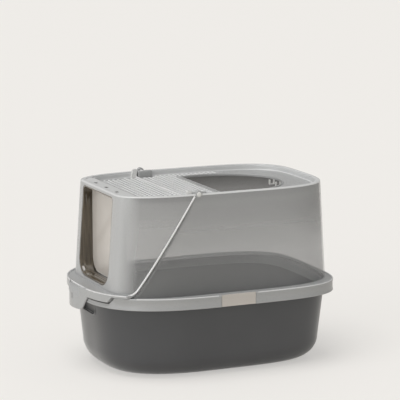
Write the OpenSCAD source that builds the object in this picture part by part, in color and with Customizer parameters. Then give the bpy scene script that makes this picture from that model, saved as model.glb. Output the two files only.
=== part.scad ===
// Top entry litter box: a deep pan, a smoky hood with a recessed deck and a D-shaped
// entry in its roof, and a flip-up front cover with a framed doorway and a swing flap.
// The front faces -X, +Z is up, and the floor is at z = 0.

/* [Ring] */
// Length of the hood's flange ring, end to end
ring_l = 650; // [620:1:700]
// Width of the flange ring
ring_w = 476; // [450:1:510]
// Height of the ring's lower edge above the floor
ring_z = 183; // [170:1:200]
// Height of the ring's outer skirt
ring_h = 30; // [27:0.5:36]
// Squareness of the ring's front end
ring_front_power = 2.8; // [2.4:0.1:3.4]
// Squareness of the ring's rear end
ring_rear_power = 4.5; // [3.8:0.1:5]
// How far ahead of mid-length the ring is widest
ring_belly = 4.5; // [0:0.5:12]
// Depth of the gutter between the ring's bead and the hood wall
gutter = 2; // [1:0.5:3]
// Height of the bead along the ring's edges
band_bead = 3; // [2.4:0.1:3.4]

/* [Mouldings] */
// Thickness of every moulded wall
wall = 3; // [2.4:0.1:3.4]
// Clearance between two mouldings that close on each other
close_gap = 0.6; // [0.4:0.1:1]
// Width of the bead along a moulded edge
bead_w = 4; // [3:0.5:5]
// Radial clearance of a turning joint
run_fit = 0.05; // [0.02:0.01:0.08]

/* [Pan] */
// Radius between the pan's floor and its wall
pan_round = 61; // [45:1:75]
// Inset of the pan wall from the ring's edge, level with the ring's lower edge
pan_inset_top = 21.5; // [19:0.5:26]
// Inset of the pan wall where the floor rounding ends
pan_inset_low = 33.4; // [28:0.2:40]
// Gap between the pan's lip and the inside of the ring's skirt
lip_gap = 1.4; // [1:0.1:2.5]
// Width of the finger recess
recess_w = 96; // [80:1:110]
// Height of the finger recess
recess_h = 37; // [30:1:45]
// Depth of the finger recess
recess_d = 16; // [10:1:22]
// Corner radius of the finger recess
recess_r = 15; // [6:1:18]

/* [Hood] */
// Height of the hood's rim above the floor
hood_top = 463; // [440:1:490]
// Ledge between ring edge and hood wall at the sides
side_ledge = 31; // [26:0.5:40]
// Ledge between ring edge and hood wall at the front
front_ledge = 37; // [30:0.5:45]
// Ledge between ring edge and hood wall at the rear
rear_ledge = 7; // [6:0.5:12]
// How far behind mid-length the hood is widest
hood_belly = 28; // [15:1:35]
// Reach of the hood's front curve beyond its flat face
hood_overreach = 12; // [8:0.5:16]
// Squareness of the hood's front corners
hood_front_power = 4.1; // [3.6:0.1:4.6]
// Squareness of the hood's rear end
hood_rear_power = 3.8; // [3.4:0.1:4.2]
// Lean of the hood's walls, foot to rim
draft = 12.8; // [8:0.1:16]
// Extra lean of the front face
front_lean = 4.6; // [0:0.1:8]
// Rounding of the upright front corners
corner_r = 13; // [8:0.5:18]
// Rounding of the rim's outer edge
rim_r = 3; // [1:0.5:4]
// Width of the rim round the deck
rim_w = 11; // [9:0.5:14]
// Depth of the deck below the rim
deck_drop = 15; // [12:0.5:20]
// Clearance between the hood's inner rib and the pan
rib_gap = 1.1; // [0.8:0.1:2]
// Depth of the inner rib below the ring's plate
rib_h = 21; // [15:0.5:22]

/* [Roof entry] */
// Distance of the entry's rear edge ahead of the ring's rear end
entry_rear = 95; // [90:1:110]
// Reach of the entry's curve behind its centre
entry_l = 164; // [150:1:170]
// Distance of the entry's straight edge ahead of that centre
entry_cut = 54; // [40:1:60]
// Half width of the entry's curve
entry_w = 135; // [120:1:145]
// Radius of the entry's two front corners
entry_r = 12; // [8:1:20]
// Height of the bead round the entry
entry_bead = 3; // [2:0.5:5]

/* [Front cover] */
// Length of the wide bar ahead of the front deck, at its top
bar_l = 50; // [42:1:56]
// Drop of the front bar's top below the rim
bar_drop = 2; // [1:0.5:3]
// Distance of the seam across the deck behind the foot of the front face
seam_back = 193; // [182:1:197]
// Height of the ridge along the deck seam
ridge_h = 8.5; // [5:0.5:10]
// Distance of the foot of the cheek's rear edge behind the foot of the front face
cheek_run = 42; // [38:0.5:54]
// Bend radius at the foot of the cheek's edge
cheek_bend = 35; // [25:1:45]
// Depth of the hood's lip behind the cheek's edge
lap_w = 9; // [6:0.5:12]
// How far the cover's skirt stands proud of the ring
skirt_proud = 4; // [3.8:0.1:6]
// Height of the skirt's lower edge above the ring's lower edge
skirt_rise = 16; // [12:0.5:20]
// Half width of the skirt along its lower edge
skirt_half = 121; // [110:1:130]
// Run of the slanted step at each end of the skirt
skirt_step = 44; // [30:1:50]
// Thickness of the cover's ledge
ledge_t = 4.4; // [3:0.1:5]
// Reach of the lift tongue ahead of the ring
tongue_reach = 18; // [15:0.5:22]
// Crown radius of the lift tongue
tongue_crown = 110; // [95:1:130]
// Drop of the tongue's tip below the ring's lower edge
tongue_drop = 20; // [14:0.5:26]
// Half width of the tongue at its root
tongue_half = 60; // [54:1:66]
// Half width of the tongue's tip
tongue_tip = 30; // [24:1:36]
// Width of the slit in the tongue
slit_w = 3; // [2:0.5:4]
// Length of the slit
slit_h = 26; // [18:1:30]

/* [Hinge] */
// Distance of the hinge axis behind the deck seam
hinge_back = 16; // [14:0.5:22]
// Depth of the hinge axis below the rim
hinge_drop = 0.5; // [0:0.5:4]
// Radius of the cover's ear
ear_r = 9; // [8:0.5:10]
// Radius of the hinge pin
pin_r = 3.5; // [3:0.1:4]
// Radius of the hinge pin's head
pin_head_r = 6; // [5:0.1:7]
// Thickness of the hinge pin's head
pin_head_t = 2.5; // [2:0.1:3.5]
// Length of the hood's lug
lug_l = 39; // [34:1:44]
// Width of the hood's lug
lug_w = 13; // [10:0.5:16]
// Radius of the lug's rounded top
lug_r = 6; // [5:0.5:7]
// Length of the end block of the deck seam
block_l = 13; // [10:0.5:15]
// Width of the end block
block_w = 9; // [6:0.5:12]
// Height of the end block above the deck
block_h = 22; // [18:0.5:26]
// Lean of the end block towards the hinge
block_lean = 4; // [0:0.5:6]

/* [Doorway] */
// Width of the doorway in the cover's front
door_w = 206; // [190:1:216]
// Height of the doorway's sill above the ring's top
door_sill = 12; // [10:0.5:18]
// Distance of the doorway's head below the hood's rim
door_head = 9; // [8:0.5:22]
// Radius of the doorway's lower corners
door_low_r = 45; // [30:1:55]
// Radius of the doorway's upper corners
door_top_r = 12; // [8:1:20]
// Thickness of the door liner's wall
liner_t = 3.4; // [2.4:0.1:4]
// Width of the liner's flange behind the front wall
liner_flange = 6; // [4:0.5:7]
// How far the liner reaches behind the flap
liner_back = 12; // [8:1:14]
// Spacing of the liner's ribs ahead of the flap
rib_pitch = 7.5; // [6:0.5:8]
// Height of a liner rib
liner_rib_h = 1; // [0.6:0.1:1.2]
// Distance of the flap behind the foot of the front face
flap_x = 40; // [36:1:42]
// Thickness of the flap
flap_t = 2; // [1.5:0.1:2.5]
// Gap between the flap and the liner
flap_gap = 2.4; // [2:0.1:4]
// Swing of the flap to each side
flap_swing = 55; // [40:1:58]
// Spacing of the flap's hooks
hook_pitch = 72; // [60:1:76]
// Width of one hook
hook_w = 8; // [6:0.5:10]
// Outer radius of a hook's eye
eye_r = 3.4; // [3:0.1:4]
// Radius of the bar that carries a hook
bar_r = 1.6; // [1.4:0.1:1.8]
// Depth of the bars' axis below the bar's top
bar_depth = 5; // [5:0.1:5.5]

/* [Latches] */
// Width of a side latch
latch_w = 92; // [80:1:100]
// Place of the latches behind mid-length
latch_x = 9.5; // [0:0.5:20]
// Radius of the latch's pivot barrel
barrel_r = 2.6; // [2.4:0.1:2.8]
// Radius of the latch's pin
latch_pin_r = 1.2; // [1:0.1:1.3]
// Reach of the latch's catch under the pan's lip
catch_reach = 7; // [6:0.5:8]

/* [Hooks] */
// Spacing of the two scoop hooks
scoop_pitch = 38; // [30:1:50]
// Width of a scoop hook
scoop_w = 6; // [5:0.5:8]
// Drop of a scoop hook below the deck
scoop_drop = 16; // [12:0.5:20]
// Reach of a scoop hook into the entry
scoop_l = 13; // [10:0.5:16]
// Thickness of a scoop hook
scoop_t = 2.5; // [2:0.1:3.5]

/* [Hidden] */
$fn = 48;

// Steps of one quarter of an outline, of a rounded corner and of the rim's rounding
quarter = 20;
corner_steps = 4;
rim_steps = 3;
// Steps of a drawn quarter turn, of the pan's floor rounding and of the roof entry's curve
turn_steps = 8;
floor_steps = 6;
entry_steps = 20;
// A cut passes this far beyond the face that it opens
over = 1;
// Slots in the front bar above the hooks, and the hooks' slots in the liner's head
bar_slot_l = 8;
bar_slot_w = 14;
hook_slot_l = 22;
// Side play of a hook between its posts
hook_play = 1;
// Ribs in the liner, and their width
liner_ribs = 3;
liner_rib_w = 2.4;
// Cut corners of the seam's end blocks
block_cut = 2.5;
// Share of the wall's thickness that a rib has
rib_share = 0.8;
// Longer than any size of the box, for cuts that run right through
far = 900;

ring_top = ring_z + ring_h;
plate_top = ring_top - gutter;
plate_low = plate_top - wall;
deck_z = hood_top - deck_drop;
// The tongue reaches ahead of the ring, so mid-length lies behind the ring's centre
centre_x = tongue_reach / 2;

// An outline is [x of its widest place, front reach, front flat, rear end, half width,
// front power, rear power], and its front and rear quarters are superellipses.
ring_form = [
    -ring_belly, ring_l / 2 - ring_belly, -ring_l / 2, ring_l / 2, ring_w / 2,
    ring_front_power, ring_rear_power
];
hood_front = -ring_l / 2 + front_ledge;
hood_half = ring_w / 2 - side_ledge;
// What belongs to the front is placed from the foot of the front face
seam_x = hood_front + seam_back;
hinge_x = seam_x + hinge_back;
// The roof entry is placed from the rear
entry_c = ring_l / 2 - entry_rear - entry_l;
entry_x = entry_c - entry_cut;
door_low = ring_top + door_sill;
door_top = hood_top - door_head;

function inset(form, d) = [
    form[0], form[1] - d, form[2] + d, form[3] - d, form[4] - d, form[5], form[6]
];

function hood_form(z, d) =
    let (k = (z - ring_top) / (hood_top - ring_top), in = draft * k + d)
    [
        hood_belly, hood_belly - hood_front + hood_overreach - in,
        hood_front + (draft + front_lean) * k + d, ring_l / 2 - rear_ledge - in,
        hood_half - in, hood_front_power, hood_rear_power
    ];

// The deck's recess follows the rim, but stops short at the wide front bar
bar_back = hood_form(hood_top, 0)[2] + bar_l;
function deck_form(z, d) =
    let (f = hood_form(z, d)) [f[0], f[1], bar_back + d - rim_w, f[3], f[4], f[5], f[6]];

function front_point(f, t) = [
    f[0] - f[1] * pow(sin(t), 2 / f[5]), f[4] * pow(cos(t), 2 / f[5])
];
function rear_point(f, t) = [
    f[0] + (f[3] - f[0]) * pow(sin(t), 2 / f[6]), f[4] * pow(cos(t), 2 / f[6])
];
// Angle at which the front curve reaches x
function front_angle(f, x) = asin(pow(min(1, (f[0] - x) / f[1]), f[5] / 2));
function blend(a, b, c, s) = (1 - s) * (1 - s) * a + 2 * s * (1 - s) * b + s * s * c;

// One side of an outline, from just past the nose to just short of the tail. A front
// flat ends in a corner of radius r, and a nose without a flat has r = 0.
function side_points(f, r) =
    let (
        flat_t = front_angle(f, f[2]),
        join_t = r > 0 ? front_angle(f, f[2] + r) : 90,
        corner = front_point(f, flat_t),
        start = [f[2], corner[1] - r],
        finish = front_point(f, join_t)
    )
    concat(
        r > 0 ? [for (k = [0:corner_steps]) blend(start, corner, finish, k / corner_steps)] : [],
        [for (k = [1:quarter - 1]) front_point(f, join_t * (1 - k / quarter))],
        [for (k = [0:quarter - 1]) rear_point(f, 90 * k / quarter)]
    );
function outline(f, r = 0) =
    let (side = side_points(f, r), n = len(side))
    concat(
        r > 0 ? [] : [[f[2], 0]], side, [[f[3], 0]],
        [for (k = [n - 1:-1:0]) [side[k][0], -side[k][1]]]
    );

// Solid through a stack of outlines with the same number of points
module loft(heights, outlines) {
    n = len(outlines[0]);
    last = len(heights) - 1;
    points = [for (k = [0:last]) for (p = outlines[k]) [p[0], p[1], heights[k]]];
    faces = concat(
        [[for (i = [n - 1:-1:0]) i]],
        [[for (i = [0:n - 1]) last * n + i]],
        [for (k = [0:last - 1]) for (i = [0:n - 1]) let (j = (i + 1) % n)
            [k * n + i, k * n + j, (k + 1) * n + j]],
        [for (k = [0:last - 1]) for (i = [0:n - 1]) let (j = (i + 1) % n)
            [k * n + i, (k + 1) * n + j, (k + 1) * n + i]]
    );
    polyhedron(points, faces);
}

// Solid inside the ring's edge, with a list of [height, inset]
module ring_loft(levels) {
    loft([for (l = levels) l[0]], [for (l = levels) outline(inset(ring_form, l[1]))]);
}

// Solid inside the hood's wall, with a list of [height, inset]
module hood_loft(levels) {
    loft([for (l = levels) l[0]], [for (l = levels) outline(hood_form(l[0], l[1]), corner_r)]);
}

module deck_loft(levels) {
    loft([for (l = levels) l[0]], [for (l = levels) outline(deck_form(l[0], l[1]), corner_r)]);
}

// Extrudes a side view [x, z] across the box, or between two widths on each side
module across(width = far) {
    rotate([90, 0, 0]) linear_extrude(width, center = true) children();
}

module along_y(y0, y1) {
    translate([0, y1, 0]) rotate([90, 0, 0]) linear_extrude(y1 - y0) children();
}

// Extrudes a front view [y, z] along x
module along_x(x0, x1) {
    translate([x0, 0, 0]) rotate([90, 0, 90]) linear_extrude(x1 - x0) children();
}

module both_sides() {
    children();
    mirror([0, 1, 0]) children();
}

// Quarter turn about a point, clockwise from an angle
function turn(y, z, r, from) = [
    for (k = [0:turn_steps]) let (a = from - 90 * k / turn_steps) [y + r * cos(a), z + r * sin(a)]
];

module rounded_rect(y0, z0, y1, z1, low_r, top_r) {
    polygon(concat(
        turn(y1 - low_r, z0 + low_r, low_r, 0), turn(y0 + low_r, z0 + low_r, low_r, -90),
        turn(y0 + top_r, z1 - top_r, top_r, -180), turn(y1 - top_r, z1 - top_r, top_r, -270)
    ));
}

// Seam between front cover and hood, in the side view

hinge_z = hood_top - hinge_drop;
cheek_top = [hinge_x - ear_r, hinge_z - ear_r / 2];
cover_low = ring_top + close_gap;
cheek_angle = atan((cheek_top[0] - hood_front - cheek_run) / (cheek_top[1] - cover_low));

// Area of the front cover in the side view; g widens it towards the hood
function cheek_foot(g) =
    cheek_top[0] + g / cos(cheek_angle) - (cheek_top[1] - cover_low) * tan(cheek_angle);
function bend_start(g) = cheek_foot(g) - cheek_bend * tan((90 - cheek_angle) / 2);
function cheek_at(z, g) =
    cheek_top[0] + g / cos(cheek_angle) - (cheek_top[1] - z) * tan(cheek_angle);

module cover_area(g, low) {
    polygon(concat(
        [[-far, low], [bend_start(g), low]],
        [for (k = [0:turn_steps]) let (a = (90 - cheek_angle) * k / turn_steps)
            [bend_start(g) + cheek_bend * sin(a), cover_low - g + cheek_bend * (1 - cos(a))]],
        [[cheek_at(hood_top + deck_drop, g), hood_top + deck_drop], [-far, hood_top + deck_drop]]
    ));
}

// Everything that the cover takes from the shell: its cheeks and the front deck
module cover_zone(g, low) {
    difference() {
        across() cover_area(g, low);
        translate([seam_x + g, -deck_side(g), deck_z - 2 * wall])
            cube([far, 2 * deck_side(g), far]);
    }
}
function deck_side(g) = outline_half(hood_form(hood_top, rim_w), seam_x) - close_gap - g;

// The whole hood and cover as one drawn shell: walls, rim, front bar and deck
module shell() {
    difference() {
        union() {
            difference() {
                hood_loft(concat([[plate_low, 0]], [for (k = [0:rim_steps]) let (a = 90 * k / rim_steps)
                    [hood_top - rim_r * (1 - sin(a)), rim_r * (1 - cos(a))]]));
                hood_loft([[plate_low - over, wall], [hood_top - wall, wall]]);
            }
            deck_loft([[deck_z - wall, rim_w - wall], [hood_top - wall / 2, rim_w - wall]]);
        }
        deck_loft([[deck_z, rim_w], [hood_top + over, rim_w]]);
        bar_recess();
    }
}

// The front bar lies a little lower than the rim
module bar_recess() {
    intersection() {
        hood_loft([[hood_top - bar_drop, rim_w], [hood_top + over, rim_w]]);
        translate([-far, -far / 2, 0]) cube([far + bar_back + over, far, far]);
    }
}

// Pan

pan_slope = (pan_inset_low - pan_inset_top) / (ring_z - pan_round);
function pan_inset(z) = pan_inset_low - (z - pan_round) * pan_slope;
rib_inset = pan_inset(plate_low - rib_h) + wall + rib_gap;

function pan_levels(r, base, t, top) = concat(
    [for (k = [0:floor_steps]) let (a = 90 * k / floor_steps)
        [base + r * (1 - cos(a)), pan_inset_low + t + r * (1 - sin(a))]],
    [[top, pan_inset(top) + t]]
);

module recess_shape(grow) {
    rounded_rect(
        -recess_w / 2 - grow, ring_z - over - recess_h - grow, recess_w / 2 + grow,
        ring_z - over + grow, recess_r + grow, recess_r / 2 + grow
    );
}

module litter_pan() color("#4b4c4e") translate([centre_x, 0, 0]) {
    recess_back = -ring_l / 2 + pan_inset(ring_z - recess_h / 2) + recess_d;
    difference() {
        union() {
            ring_loft(pan_levels(pan_round, 0, 0, plate_low));
            ring_loft([[plate_low - wall, wall + lip_gap], [plate_low, wall + lip_gap]]);
        }
        difference() {
            ring_loft(pan_levels(pan_round - wall, wall, wall, plate_low + over));
            along_x(-far, recess_back + wall) recess_shape(wall);
        }
        along_x(-far, recess_back) recess_shape(0);
    }
}

// Hood

function entry_outline(d) =
    let (
        rx = entry_l - d, ry = entry_w - d, x0 = entry_x + d,
        t0 = acos((x0 - entry_c) / rx), t1 = acos((x0 + entry_r - entry_c) / rx),
        corner = [x0, ry * sin(t0)], start = [x0, corner[1] - entry_r],
        finish = [entry_c + rx * cos(t1), ry * sin(t1)],
        half = concat(
            [for (k = [0:corner_steps]) blend(start, corner, finish, k / corner_steps)],
            [for (k = [1:entry_steps - 1]) let (t = t1 * (1 - k / entry_steps))
                [entry_c + rx * cos(t), ry * sin(t)]]
        ), n = len(half)
    )
    concat(half, [[entry_c + rx, 0]], [for (k = [n - 1:-1:0]) [half[k][0], -half[k][1]]]);

latch_gap = 1;
// The latch's pin runs this far into the ring on each side
latch_pin_seat = 9;
// The barrel's top is sunk a little above the ring's top, and its catch clears the pan's lip
latch_sink = 0.4;
catch_gap = 2;
latch_axis_y = ring_w / 2 - wall * 1.5;
latch_axis_z = ring_top - barrel_r + latch_sink;

module ring_band() {
    difference() {
        // A low bead runs along both edges of the skirt, and the upper one is rounded
        ring_loft([
            [ring_z, 0.4 * band_bead], [ring_z + 0.3 * band_bead, 0], [ring_z + band_bead, 0],
            [ring_z + 1.5 * band_bead, 0.3 * band_bead], [ring_top - 2 * band_bead, 0.3 * band_bead],
            [ring_top - 1.5 * band_bead, 0], [ring_top - 0.7 * band_bead, 0],
            [ring_top - 0.2 * band_bead, 0.3 * band_bead], [ring_top, 0.8 * band_bead]
        ]);
        ring_loft([[ring_z - over, wall], [plate_low, wall]]);
        ring_loft([[plate_top, bead_w + gutter], [ring_top + over, bead_w]]);
    }
}

module inner_rib() {
    difference() {
        ring_loft([[plate_low - rib_h, rib_inset], [plate_top, rib_inset]]);
        ring_loft([
            [plate_low - rib_h - over, rib_inset + wall * rib_share],
            [ring_top, rib_inset + wall * rib_share]
        ]);
    }
}

// Inside of the hood and the ring, clear of both the rib and the hood's wall
module ring_opening() {
    intersection() {
        ring_loft([
            [ring_z - over, rib_inset + wall * rib_share], [ring_top + over, rib_inset + wall * rib_share]
        ]);
        hood_loft([[ring_z - over, wall], [ring_top + over, wall]]);
    }
}

// Lip behind the cheek's edge, stepped in behind the cover's wall
module lap_lip() {
    intersection() {
        difference() {
            hood_loft([[plate_top, wall + close_gap], [deck_z - wall, wall + close_gap]]);
            hood_loft([[plate_low, 2 * wall], [deck_z, 2 * wall]]);
        }
        difference() {
            across() cover_area(lap_w, plate_low);
            across() cover_area(-lap_w, plate_low - over);
        }
    }
    intersection() {
        difference() {
            hood_loft([[plate_top, wall / 2], [deck_z - wall, wall / 2]]);
            hood_loft([[plate_low, 2 * wall], [deck_z, 2 * wall]]);
        }
        difference() {
            across() cover_area(lap_w, plate_low);
            across() cover_area(close_gap, plate_low - over);
        }
    }
}

lug_y = deck_side(0) - lug_w;
lug_x = hinge_x - lug_l / 3;

module hinge_lug() {
    along_y(lug_y, lug_y + lug_w) {
        translate([lug_x, deck_z - wall]) square([lug_l, hinge_z - deck_z + wall]);
        translate([hinge_x, hinge_z]) circle(lug_r);
    }
}

module latch_window() {
    y0 = latch_axis_y - barrel_r - wall;
    translate([latch_x - latch_w / 2 - latch_gap, y0, ring_z - over])
        cube([latch_w + 2 * latch_gap, far, ring_h + 3 * over]);
    translate([latch_x - latch_w / 2 - latch_pin_seat - over, latch_axis_y, latch_axis_z])
        rotate([0, 90, 0]) cylinder(latch_w + 2 * (latch_pin_seat + over), r = latch_pin_r);
}

module rear_hood() color("#a4a6a6") translate([centre_x, 0, 0]) {
    difference() {
        union() {
            ring_band();
            inner_rib();
            difference() {
                shell();
                cover_zone(close_gap, 0);
                translate([0, 0, deck_z - wall - over]) linear_extrude(wall + 2 * over)
                    polygon(entry_outline(0));
                both_sides() along_y(hood_form(deck_z, rim_w)[4] - close_gap, ring_w / 2)
                    translate([hinge_x, hinge_z]) circle(ear_r + close_gap);
            }
            lap_lip();
            both_sides() hinge_lug();
            translate([0, 0, deck_z - wall]) linear_extrude(wall + entry_bead) difference() {
                polygon(entry_outline(-bead_w));
                polygon(entry_outline(0));
            }
        }
        ring_opening();
        both_sides() {
            latch_window();
            along_y(lug_y - over, ring_w / 2) translate([hinge_x, hinge_z]) circle(pin_r);
        }
    }
}

// Front cover

tongue_x = -ring_l / 2 - tongue_reach + tongue_crown;

module ledge_plan(d) {
    polygon(outline(inset(ring_form, d - skirt_proud)));
    translate([tongue_x, 0]) circle(tongue_crown - d, $fn = 120);
}

// Half width of an outline at a place on its front part
function outline_half(f, x) = f[4] * pow(1 - pow((f[0] - x) / f[1], f[5]), 1 / f[5]);

module front_cover() color("#b4b6b6") translate([centre_x, 0, 0]) {
    difference() {
        union() {
            intersection() {
                shell();
                cover_zone(0, cover_low);
            }
            cover_ledge();
            skirt();
            seam_ridge();
            both_sides() ear();
        }
        along_x(-far, bar_back - rim_w - wall - over)
            rounded_rect(-door_w / 2, door_low, door_w / 2, door_top, door_low_r, door_top_r);
        for (k = [-1:1]) translate([
            flap_plane - bar_slot_l / 2, k * hook_pitch - bar_slot_w / 2, hood_top - bar_drop - wall - over
        ])
            cube([bar_slot_l, bar_slot_w, far]);
        both_sides() along_y(ring_w / 4, ring_w) translate([hinge_x, hinge_z]) circle(pin_r + run_fit);
    }
}

module cover_ledge() {
    bead_z = cover_low + ledge_t;
    intersection() {
        difference() {
            union() {
                translate([0, 0, cover_low]) linear_extrude(ledge_t) ledge_plan(0);
                // The bead stands on the ledge's edge in two steps
                for (k = [0:1]) translate([0, 0, bead_z - over])
                    linear_extrude(over + bead_w * (k + 2) / 5) difference() {
                        ledge_plan(bead_w * (2 * k + 1) / 10);
                        ledge_plan(bead_w * (1 - k / 5));
                    }
            }
            hood_loft([[ring_z, wall], [ring_top + ring_h, wall]]);
        }
        translate([0, 0, ring_z]) linear_extrude(2 * ring_h) ledge_keep();
        across() cover_area(0, cover_low);
    }
}

// Plan of what the ledge keeps: all ahead of the cheek's foot, narrowed at both ends
module ledge_keep() {
    x0 = hood_front + cheek_run / 2;
    x1 = max(x0, bend_start(0)) + cheek_bend / 2;
    y0 = outline_half(inset(ring_form, -skirt_proud), x0);
    y1 = outline_half(hood_form(ring_top, 0), x1) + bead_w / 2;
    polygon([
        [-far, -y0], [x0, -y0], [x1, -y1], [x1, y1], [x0, y0], [-far, y0]
    ]);
}

module skirt() {
    low = ring_z + skirt_rise;
    root = cover_low + over;
    intersection() {
        translate([0, 0, low]) linear_extrude(root - low) difference() {
            ledge_plan(0);
            ledge_plan(skirt_proud - close_gap);
        }
        along_x(-far, hood_front + front_ledge) polygon([
            [-skirt_half, low], [skirt_half, low], [skirt_half + skirt_step, root],
            [-skirt_half - skirt_step, root]
        ]);
    }
    tongue_low = ring_z - tongue_drop;
    difference() {
        intersection() {
            translate([tongue_x, 0, tongue_low]) linear_extrude(root - tongue_low) difference() {
                circle(tongue_crown, $fn = 120);
                circle(tongue_crown - wall, $fn = 120);
                translate([-tongue_x, 0]) polygon(outline(inset(ring_form, -close_gap)));
            }
            along_x(-far, tongue_x) polygon(tongue_outline());
        }
        translate([-far, -slit_w / 2, plate_top - slit_h]) cube([far, slit_w, slit_h]);
    }
}

// Front view of the tongue: sloping sides and a rounded tip
function tongue_outline() =
    let (
        root = cover_low + over, shoulder = ring_z + skirt_rise, tip = ring_z - tongue_drop,
        // The sides slope in by a third of the way to the tip
        tongue_side = tongue_half - (tongue_half - tongue_tip) / 3,
        right = concat(
            [[tongue_half, root], [tongue_half, shoulder]],
            [for (k = [0:turn_steps]) blend(
                [tongue_side, ring_z - bead_w], [tongue_side - bead_w, tip], [tongue_tip, tip],
                k / turn_steps)]
        ), n = len(right)
    )
    concat(right, [for (k = [n - 1:-1:0]) [-right[k][0], right[k][1]]]);

module seam_ridge() {
    half = deck_side(0) - block_w - close_gap;
    translate([seam_x - bead_w, -half, deck_z - wall / 2])
        cube([bead_w, 2 * half, ridge_h + wall / 2]);
}

ear_in = hood_form(deck_z, rim_w)[4];
ear_out = hood_form(hinge_z, 0)[4] - close_gap;

module ear() {
    along_y(ear_in, ear_out) {
        translate([hinge_x, hinge_z]) circle(ear_r);
        intersection() {
            translate([hinge_x - 2 * ear_r, deck_z]) square([2 * ear_r, deck_drop]);
            cover_area(0, cover_low);
        }
    }
}

// Door liner

flap_plane = hood_front + flap_x;
eye_z = hood_top - bar_drop - bar_depth;
liner_w = door_w / 2 - close_gap / 2;
liner_low = door_low + close_gap / 2;
liner_top = door_top - close_gap / 2;

module liner_plan(d) {
    rounded_rect(
        -liner_w + d, liner_low + d, liner_w - d, liner_top - d, door_low_r - d, door_top_r - d / 2
    );
}

module door_liner() color("#5a5040") translate([centre_x, 0, 0]) {
    difference() {
        union() {
            intersection() {
                along_x(-far, flap_plane + liner_back) liner_plan(0);
                hood_loft([[ring_z, over], [hood_top, over]]);
            }
            intersection() {
                along_x(-far, flap_plane) liner_plan(-liner_flange);
                difference() {
                    hood_loft([[ring_z, wall + close_gap / 2], [hood_top, wall + close_gap / 2]]);
                    hood_loft([[ring_z - over, 2 * wall], [hood_top + over, 2 * wall]]);
                }
                translate([-far, -far / 2, cover_low + ledge_t])
                    cube([far, far, hood_top - 2 * wall - cover_low - ledge_t]);
            }
            for (k = [-1:1]) hook_bar_posts(k * hook_pitch);
        }
        along_x(-far, flap_plane + liner_back + over) liner_plan(liner_t);
        for (k = [-1:1]) translate([
            flap_plane - hook_slot_l / 2, k * hook_pitch - hook_w / 2 - hook_play, liner_top - 2 * liner_t
        ])
            cube([hook_slot_l, hook_w + 2 * hook_play, 3 * liner_t]);
    }
    for (k = [1:liner_ribs]) liner_rib(flap_plane - k * rib_pitch);
    for (k = [-1:1]) translate([flap_plane, k * hook_pitch, eye_z]) rotate([90, 0, 0])
        cylinder(hook_w + 4 * hook_play, r = bar_r, center = true);
}

// One low rib round the inside of the liner, open at the top where the hooks swing
module liner_rib(x) {
    along_x(x - liner_rib_w / 2, x + liner_rib_w / 2) difference() {
        liner_plan(liner_t / 2);
        liner_plan(liner_t + liner_rib_h);
        translate([-far / 2, liner_top - 2 * door_top_r]) square(far);
    }
}

// Two small posts that carry the bar of one hook
module hook_bar_posts(y) {
    for (s = [-1, 1]) translate([
        flap_plane - bar_r - hook_play, y + s * (hook_w / 2 + 2 * hook_play) - hook_play, liner_top - over
    ])
        cube([2 * (bar_r + hook_play), 2 * hook_play, eye_z + bar_r - liner_top + over]);
}

// Door flap

module door_flap() color("#bab4ae") translate([centre_x, 0, 0]) {
    d = liner_t + flap_gap;
    // Its upper edge stays clear of the liner as it swings up
    flap_top = eye_z - (eye_z - liner_top + liner_t + close_gap) / cos(flap_swing) - flap_t / 2;
    along_x(flap_plane - flap_t / 2, flap_plane + flap_t / 2)
        rounded_rect(-liner_w + d, liner_low + d, liner_w - d, flap_top, door_low_r - d, door_top_r);
    difference() {
        for (k = [-1:1]) translate([flap_plane, k * hook_pitch, 0]) {
            translate([0, 0, eye_z]) rotate([90, 0, 0]) cylinder(hook_w, r = eye_r, center = true);
            translate([-flap_t / 2, -hook_w / 2, flap_top - over])
                cube([flap_t, hook_w, eye_z - flap_top + over]);
        }
        translate([flap_plane, 0, eye_z]) rotate([90, 0, 0])
            cylinder(2 * hook_pitch + 2 * hook_w, r = bar_r + run_fit, center = true);
    }
}

// Hinge pins and seam blocks

module hinge_pin() {
    head_y = ear_out + close_gap / 2;
    translate([centre_x + hinge_x, 0, hinge_z]) rotate([-90, 0, 0]) {
        translate([0, 0, lug_y + 1]) cylinder(head_y - lug_y, r = pin_r);
        translate([0, 0, head_y]) cylinder(pin_head_t, r1 = pin_head_r, r2 = pin_head_r - 1);
    }
}
module hinge_pin_near() color("white") mirror([0, 1, 0]) hinge_pin();
module hinge_pin_far() color("white") hinge_pin();

module seam_block() {
    x0 = seam_x - block_l - bead_w / 2;
    y1 = outline_half(hood_form(hood_top, rim_w), x0) - close_gap / 2;
    translate([centre_x + x0, 0, deck_z]) along_y(y1 - block_w, y1) polygon([
        [0, 0], [block_l, 0], [block_l + block_lean, block_h - block_cut],
        [block_l + block_lean - block_cut, block_h], [block_lean + block_cut, block_h],
        [block_lean, block_h - block_cut]
    ]);
}
module seam_block_near() color("white") mirror([0, 1, 0]) seam_block();
module seam_block_far() color("white") seam_block();

// Side latches

module side_latch() {
    x0 = centre_x + latch_x - latch_w / 2;
    plate_in = ring_w / 2 - wall;
    catch_top = plate_low - wall - catch_gap;
    translate([x0, 0, 0]) rotate([90, 0, 90]) linear_extrude(latch_w) difference() {
        union() {
            translate([plate_in, ring_z + over]) square([wall, latch_axis_z - ring_z - over]);
            translate([latch_axis_y, latch_axis_z]) circle(barrel_r);
            translate([latch_axis_y, latch_axis_z - barrel_r])
                square([plate_in + wall - latch_axis_y, 2 * barrel_r - latch_sink]);
            polygon([
                [plate_in + over, catch_top], [plate_in - catch_reach, catch_top],
                [plate_in - catch_reach + over, catch_top - wall], [plate_in + over, catch_top - 2 * wall]
            ]);
        }
        translate([latch_axis_y, latch_axis_z]) circle(latch_pin_r + run_fit);
    }
}
module side_latch_near() color("#b2b2b0") mirror([0, 1, 0]) side_latch();
module side_latch_far() color("#b2b2b0") side_latch();

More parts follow.
